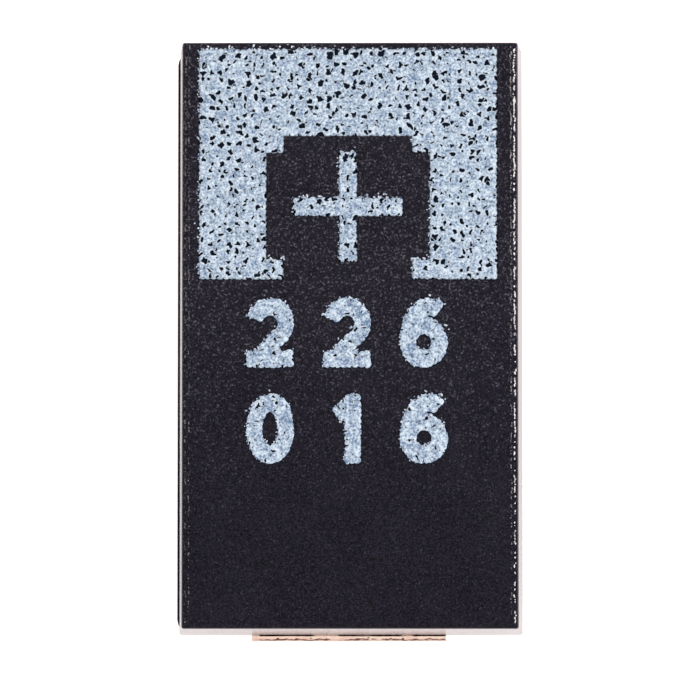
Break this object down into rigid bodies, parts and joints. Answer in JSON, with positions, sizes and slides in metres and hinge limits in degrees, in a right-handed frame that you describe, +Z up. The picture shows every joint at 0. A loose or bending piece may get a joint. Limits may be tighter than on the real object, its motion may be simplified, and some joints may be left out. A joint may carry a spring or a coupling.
{
  "type": "tantalum capacitor",
  "caption": "Moulded surface-mount tantalum chip capacitor with two folded terminals and a polarity mark burnt into its top face.",
  "frame": {"origin": "on the board, under the middle of the part", "axes": "+Y along the part towards the positive end, +Z up from the board to the marked face, +X across the part"},
  "size_m": [0.0042, 0.0074, 0.0028],
  "materials": {
    "epoxy_moulding": "fine moulded grain, near-black",
    "laser_mark": "granular pale laser burn",
    "tinned_strip": "satin tin plate on copper alloy strip",
    "silver_adhesive": "dull silver-filled resin",
    "silver_paint": "matt silver paint",
    "graphite": "matt graphite",
    "conductive_polymer": "matt dark blue film",
    "sintered_tantalum": "porous sintered metal",
    "tantalum_wire": "drawn wire",
    "ptfe": "white, waxy"
  },
  "bodies": {
    "root": {"moulded_body": "epoxy_moulding", "polarity_mark": "laser_mark", "cathode_terminal": "tinned_strip", "anode_terminal": "tinned_strip", "silver_adhesive": "silver_adhesive", "silver_layer": "silver_paint", "graphite_layer": "graphite", "polymer_layer": "conductive_polymer", "anode_slug": "sintered_tantalum", "anode_wire": "tantalum_wire", "wire_washer": "ptfe"}
  },
  "joints": []
}
